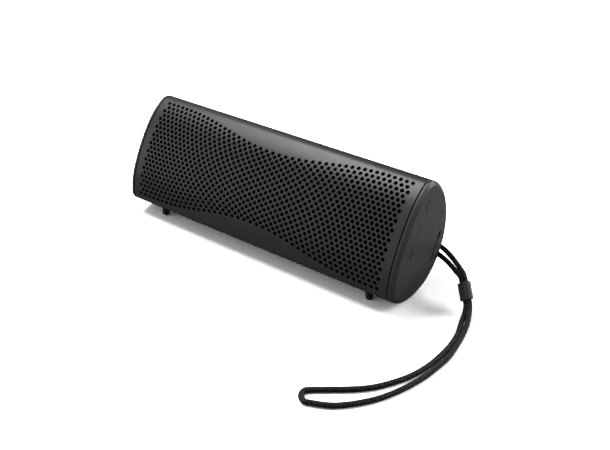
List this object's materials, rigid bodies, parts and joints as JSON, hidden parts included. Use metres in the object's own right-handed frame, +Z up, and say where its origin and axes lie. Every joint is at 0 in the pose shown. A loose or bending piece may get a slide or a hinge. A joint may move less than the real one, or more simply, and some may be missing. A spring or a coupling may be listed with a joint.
{
  "type": "shower speaker",
  "caption": "Portable shower speaker: perforated metal casing between moulded end caps, with keys on one end, rubber feet and a wrist cord.",
  "frame": {"origin": "on the floor, under the middle of the casing's length and depth", "axes": "+X along the casing towards the control panel, +Y from the grille towards the rear, +Z up from the floor the feet stand on; the section leans back 31.5 degrees about X"},
  "size_m": [0.2598, 0.1506, 0.0742],
  "materials": {
    "casing_metal": "fine satin, dark anodised",
    "cap_plastic": "soft-touch, very fine texture",
    "cover_rubber": "matt",
    "seal_rubber": "matt",
    "foot_rubber": "matt",
    "acoustic_cloth": "fine woven mesh",
    "cord_braid": "round braid",
    "slider_plastic": "satin",
    "light_guide": "dark clear",
    "screw_steel": "plain",
    "socket_steel": "plain",
    "switch_metal": "plain",
    "driver_steel": "black coated",
    "magnet_ferrite": "dull ground",
    "cone_paper": "coated pulp",
    "chassis_plastic": "moulded",
    "circuit_board": "solder mask",
    "cell_wrap": "shrink wrap over a steel can",
    "ribbon_film": "polyimide film"
  },
  "bodies": {
    "speaker": {"casing": "casing_metal", "grille_cloth": "acoustic_cloth", "left_gasket": "seal_rubber", "right_gasket": "seal_rubber", "left_cap_frame": "cap_plastic", "left_cap_panel": "cap_plastic", "right_cap_frame": "cap_plastic", "right_cap_panel": "cap_plastic", "microphone_mesh": "acoustic_cloth", "volume_up_switch": "switch_metal", "play_switch": "switch_metal", "volume_down_switch": "switch_metal", "pairing_switch": "switch_metal", "status_light_guide": "light_guide", "battery_light_guide": "light_guide", "left_cap_screw_upper": "screw_steel", "left_cap_screw_lower": "screw_steel", "right_cap_screw_upper": "screw_steel", "right_cap_screw_lower": "screw_steel", "inner_chassis": "chassis_plastic", "left_driver_basket": "driver_steel", "left_driver_magnet": "magnet_ferrite", "left_driver_surround": "seal_rubber", "right_driver_basket": "driver_steel", "right_driver_magnet": "magnet_ferrite", "right_driver_surround": "seal_rubber", "radiator_frame": "driver_steel", "radiator_surround": "seal_rubber", "battery_holder": "chassis_plastic", "battery_cell_upper": "cell_wrap", "battery_cell_lower": "cell_wrap", "main_board": "circuit_board", "control_board": "circuit_board", "charging_board": "circuit_board", "ribbon_cable": "ribbon_film", "charging_socket": "socket_steel", "strap_anchor": "cap_plastic", "strap_pin": "screw_steel", "wrist_cord": "cord_braid", "left_foot": "foot_rubber", "right_foot": "foot_rubber"},
    "volume_up": {"volume_up_key": "cap_plastic"},
    "play": {"play_key": "cap_plastic"},
    "volume_down": {"volume_down_key": "cap_plastic"},
    "pairing": {"pairing_key": "cap_plastic"},
    "left_cone": {"left_driver_cone": "cone_paper"},
    "right_cone": {"right_driver_cone": "cone_paper"},
    "radiator": {"radiator_diaphragm": "cone_paper"},
    "cover": {"socket_cover": "cover_rubber"},
    "slider": {"cord_slider": "slider_plastic"}
  },
  "joints": [
    {"name": "volume_up_press", "type": "slide", "parent": "speaker", "child": "volume_up", "axis": [-1, 0, 0], "range_m": [0, 0.0006], "stiffness_N_per_m": 500},
    {"name": "play_press", "type": "slide", "parent": "speaker", "child": "play", "axis": [-1, 0, 0], "range_m": [0, 0.0006], "stiffness_N_per_m": 500},
    {"name": "volume_down_press", "type": "slide", "parent": "speaker", "child": "volume_down", "axis": [-1, 0, 0], "range_m": [0, 0.0006], "stiffness_N_per_m": 500},
    {"name": "pairing_press", "type": "slide", "parent": "speaker", "child": "pairing", "axis": [-1, 0, 0], "range_m": [0, 0.0006], "stiffness_N_per_m": 500},
    {"name": "left_cone_travel", "type": "slide", "parent": "speaker", "child": "left_cone", "axis": [0, 0.8526, -0.5225], "range_m": [-0.002, 0.002], "stiffness_N_per_m": 1500},
    {"name": "right_cone_travel", "type": "slide", "parent": "speaker", "child": "right_cone", "axis": [0, 0.8526, -0.5225], "range_m": [-0.002, 0.002], "stiffness_N_per_m": 1500},
    {"name": "radiator_travel", "type": "slide", "parent": "speaker", "child": "radiator", "axis": [0, 0.8526, -0.5225], "range_m": [-0.0025, 0.0025], "stiffness_N_per_m": 1000},
    {"name": "cover_hinge", "type": "hinge", "parent": "speaker", "child": "cover", "pos_m": [-0.1062, 0.00487, 0.04197], "axis": [0, 0.8526, -0.5225], "range_deg": [0, 95]},
    {"name": "slider_slide", "type": "slide", "parent": "speaker", "child": "slider", "axis": [0.5185, -0.4487, -0.7279], "range_m": [-0.002, 0.002]}
  ]
}
